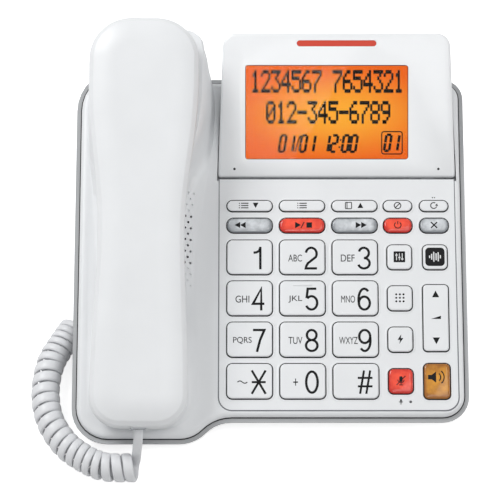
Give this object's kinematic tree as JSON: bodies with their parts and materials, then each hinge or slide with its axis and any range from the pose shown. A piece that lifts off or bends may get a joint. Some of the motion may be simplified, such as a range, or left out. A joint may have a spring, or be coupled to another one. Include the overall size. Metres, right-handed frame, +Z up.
{
  "type": "corded speakerphone",
  "caption": "Sloped desk telephone with a tilting display, push keys, a raised cradle holding a lift-off handset, and a curly cord.",
  "frame": {"origin": "middle of the footprint on the table surface", "axes": "+Z up, front towards -Y, handset on the -X side"},
  "size_m": [0.2272, 0.2294, 0.1051],
  "materials": {
    "white_plastic": "fine satin moulded white",
    "grey_plastic": "satin moulded grey",
    "clear_key": "translucent grey gloss",
    "red_key": "translucent red gloss",
    "amber_key": "translucent amber gloss",
    "dark_plastic": "matte black",
    "membrane_rubber": "matte silicone",
    "foot_rubber": "matte rubber",
    "board": "solder mask",
    "steel": "plated steel",
    "plug_plastic": "clear moulded plug",
    "cord_jacket": "soft satin jacket",
    "window_lens": "clear polished lens",
    "lcd": "backlit panel",
    "red_lens": "translucent red"
  },
  "bodies": {
    "base": {"top_housing": "white_plastic", "bottom_housing": "grey_plastic", "keypad_faceplate": "white_plastic", "keypad_membrane": "membrane_rubber", "main_board": "board", "loudspeaker": "dark_plastic", "base_microphone": "dark_plastic", "handset_jack": "dark_plastic", "line_jack": "dark_plastic", "dc_jack": "dark_plastic", "rubber_feet": "foot_rubber", "housing_screws": "steel", "cord_base_plug": "plug_plastic", "cord_base_lead": "cord_jacket", "cord_curls": "cord_jacket", "cord_handset_lead": "cord_jacket"},
    "handset": {"handset_outer": "white_plastic", "handset_inner": "white_plastic", "receiver_capsule": "dark_plastic", "handset_microphone": "dark_plastic", "handset_weight": "steel", "handset_socket": "dark_plastic", "cord_handset_plug": "plug_plastic"},
    "display": {"display_front": "white_plastic", "display_back": "white_plastic", "display_window": "window_lens", "lcd_panel": "lcd", "in_use_lens": "red_lens", "hinge_pins": "steel", "display_screws": "steel"},
    "hook": {"hook_plunger": "white_plastic"},
    "volume": {"volume_rocker": "white_plastic"},
    "key_1_body": {"key_1": "white_plastic"},
    "key_2_body": {"key_2": "white_plastic"},
    "key_3_body": {"key_3": "white_plastic"},
    "key_4_body": {"key_4": "white_plastic"},
    "key_5_body": {"key_5": "white_plastic"},
    "key_6_body": {"key_6": "white_plastic"},
    "key_7_body": {"key_7": "white_plastic"},
    "key_8_body": {"key_8": "white_plastic"},
    "key_9_body": {"key_9": "white_plastic"},
    "key_star_body": {"key_star": "white_plastic"},
    "key_0_body": {"key_0": "white_plastic"},
    "key_hash_body": {"key_hash": "white_plastic"},
    "caller_list_key_body": {"caller_list_key": "white_plastic"},
    "menu_key_body": {"menu_key": "white_plastic"},
    "directory_key_body": {"directory_key": "white_plastic"},
    "cancel_key_body": {"cancel_key": "white_plastic"},
    "redial_key_body": {"redial_key": "white_plastic"},
    "repeat_key_body": {"repeat_key": "clear_key"},
    "play_key_body": {"play_key": "red_key"},
    "skip_key_body": {"skip_key": "clear_key"},
    "answer_key_body": {"answer_key": "red_key"},
    "delete_key_body": {"delete_key": "clear_key"},
    "equalizer_key_body": {"equalizer_key": "white_plastic"},
    "speed_dial_key_body": {"speed_dial_key": "white_plastic"},
    "flash_key_body": {"flash_key": "white_plastic"},
    "mute_key_body": {"mute_key": "red_key"},
    "audio_key_body": {"audio_key": "white_plastic"},
    "speaker_key_body": {"speaker_key": "amber_key"}
  },
  "joints": [
    {"name": "handset_lift", "type": "slide", "parent": "base", "child": "handset", "axis": [-0.0011, -0.3123, 0.95], "range_m": [0, 0.06], "deforming": ["cord_handset_lead", "cord_curls"]},
    {"name": "display_tilt", "type": "hinge", "parent": "base", "child": "display", "pos_m": [0.03502, 0.04076, 0.04036], "axis": [1, 0, 0], "range_deg": [-8, 22]},
    {"name": "hook_switch", "type": "slide", "parent": "base", "child": "hook", "axis": [-0.0011, -0.3123, 0.95], "range_m": [0, 0.004]},
    {"name": "volume_rock", "type": "hinge", "parent": "base", "child": "volume", "pos_m": [0.08603, -0.03845, 0.02404], "axis": [1, 0, 0], "range_deg": [-3.5, 3.5], "stiffness_Nm_per_rad": 0.05},
    {"name": "key_1_press", "type": "slide", "parent": "base", "child": "key_1_body", "axis": [0, -0.2079, 0.9781], "range_m": [-0.0012, 0], "stiffness_N_per_m": 150, "springref_m": 0.002},
    {"name": "key_2_press", "type": "slide", "parent": "base", "child": "key_2_body", "axis": [0, -0.2079, 0.9781], "range_m": [-0.0012, 0], "stiffness_N_per_m": 150, "springref_m": 0.002},
    {"name": "key_3_press", "type": "slide", "parent": "base", "child": "key_3_body", "axis": [0, -0.2079, 0.9781], "range_m": [-0.0012, 0], "stiffness_N_per_m": 150, "springref_m": 0.002},
    {"name": "key_4_press", "type": "slide", "parent": "base", "child": "key_4_body", "axis": [0, -0.2079, 0.9781], "range_m": [-0.0012, 0], "stiffness_N_per_m": 150, "springref_m": 0.002},
    {"name": "key_5_press", "type": "slide", "parent": "base", "child": "key_5_body", "axis": [0, -0.2079, 0.9781], "range_m": [-0.0012, 0], "stiffness_N_per_m": 150, "springref_m": 0.002},
    {"name": "key_6_press", "type": "slide", "parent": "base", "child": "key_6_body", "axis": [0, -0.2079, 0.9781], "range_m": [-0.0012, 0], "stiffness_N_per_m": 150, "springref_m": 0.002},
    {"name": "key_7_press", "type": "slide", "parent": "base", "child": "key_7_body", "axis": [0, -0.2079, 0.9781], "range_m": [-0.0012, 0], "stiffness_N_per_m": 150, "springref_m": 0.002},
    {"name": "key_8_press", "type": "slide", "parent": "base", "child": "key_8_body", "axis": [0, -0.2079, 0.9781], "range_m": [-0.0012, 0], "stiffness_N_per_m": 150, "springref_m": 0.002},
    {"name": "key_9_press", "type": "slide", "parent": "base", "child": "key_9_body", "axis": [0, -0.2079, 0.9781], "range_m": [-0.0012, 0], "stiffness_N_per_m": 150, "springref_m": 0.002},
    {"name": "key_star_press", "type": "slide", "parent": "base", "child": "key_star_body", "axis": [0, -0.2079, 0.9781], "range_m": [-0.0012, 0], "stiffness_N_per_m": 150, "springref_m": 0.002},
    {"name": "key_0_press", "type": "slide", "parent": "base", "child": "key_0_body", "axis": [0, -0.2079, 0.9781], "range_m": [-0.0012, 0], "stiffness_N_per_m": 150, "springref_m": 0.002},
    {"name": "key_hash_press", "type": "slide", "parent": "base", "child": "key_hash_body", "axis": [0, -0.2079, 0.9781], "range_m": [-0.0012, 0], "stiffness_N_per_m": 150, "springref_m": 0.002},
    {"name": "caller_list_key_press", "type": "slide", "parent": "base", "child": "caller_list_key_body", "axis": [0, -0.2079, 0.9781], "range_m": [-0.0012, 0], "stiffness_N_per_m": 150, "springref_m": 0.002},
    {"name": "menu_key_press", "type": "slide", "parent": "base", "child": "menu_key_body", "axis": [0, -0.2079, 0.9781], "range_m": [-0.0012, 0], "stiffness_N_per_m": 150, "springref_m": 0.002},
    {"name": "directory_key_press", "type": "slide", "parent": "base", "child": "directory_key_body", "axis": [0, -0.2079, 0.9781], "range_m": [-0.0012, 0], "stiffness_N_per_m": 150, "springref_m": 0.002},
    {"name": "cancel_key_press", "type": "slide", "parent": "base", "child": "cancel_key_body", "axis": [0, -0.2079, 0.9781], "range_m": [-0.0012, 0], "stiffness_N_per_m": 150, "springref_m": 0.002},
    {"name": "redial_key_press", "type": "slide", "parent": "base", "child": "redial_key_body", "axis": [0, -0.2079, 0.9781], "range_m": [-0.0012, 0], "stiffness_N_per_m": 150, "springref_m": 0.002},
    {"name": "repeat_key_press", "type": "slide", "parent": "base", "child": "repeat_key_body", "axis": [0, -0.2079, 0.9781], "range_m": [-0.0012, 0], "stiffness_N_per_m": 150, "springref_m": 0.002},
    {"name": "play_key_press", "type": "slide", "parent": "base", "child": "play_key_body", "axis": [0, -0.2079, 0.9781], "range_m": [-0.0012, 0], "stiffness_N_per_m": 150, "springref_m": 0.002},
    {"name": "skip_key_press", "type": "slide", "parent": "base", "child": "skip_key_body", "axis": [0, -0.2079, 0.9781], "range_m": [-0.0012, 0], "stiffness_N_per_m": 150, "springref_m": 0.002},
    {"name": "answer_key_press", "type": "slide", "parent": "base", "child": "answer_key_body", "axis": [0, -0.2079, 0.9781], "range_m": [-0.0012, 0], "stiffness_N_per_m": 150, "springref_m": 0.002},
    {"name": "delete_key_press", "type": "slide", "parent": "base", "child": "delete_key_body", "axis": [0, -0.2079, 0.9781], "range_m": [-0.0012, 0], "stiffness_N_per_m": 150, "springref_m": 0.002},
    {"name": "equalizer_key_press", "type": "slide", "parent": "base", "child": "equalizer_key_body", "axis": [0, -0.2079, 0.9781], "range_m": [-0.0012, 0], "stiffness_N_per_m": 150, "springref_m": 0.002},
    {"name": "speed_dial_key_press", "type": "slide", "parent": "base", "child": "speed_dial_key_body", "axis": [0, -0.2079, 0.9781], "range_m": [-0.0012, 0], "stiffness_N_per_m": 150, "springref_m": 0.002},
    {"name": "flash_key_press", "type": "slide", "parent": "base", "child": "flash_key_body", "axis": [0, -0.2079, 0.9781], "range_m": [-0.0012, 0], "stiffness_N_per_m": 150, "springref_m": 0.002},
    {"name": "mute_key_press", "type": "slide", "parent": "base", "child": "mute_key_body", "axis": [0, -0.2079, 0.9781], "range_m": [-0.0012, 0], "stiffness_N_per_m": 150, "springref_m": 0.002},
    {"name": "audio_key_press", "type": "slide", "parent": "base", "child": "audio_key_body", "axis": [0, -0.2079, 0.9781], "range_m": [-0.0012, 0], "stiffness_N_per_m": 150, "springref_m": 0.002},
    {"name": "speaker_key_press", "type": "slide", "parent": "base", "child": "speaker_key_body", "axis": [0, -0.2079, 0.9781], "range_m": [-0.0012, 0], "stiffness_N_per_m": 150, "springref_m": 0.002}
  ],
  "couplings": [
    {"joint": "hook_switch", "follows": "handset_lift", "ratio": 0.066667}
  ]
}
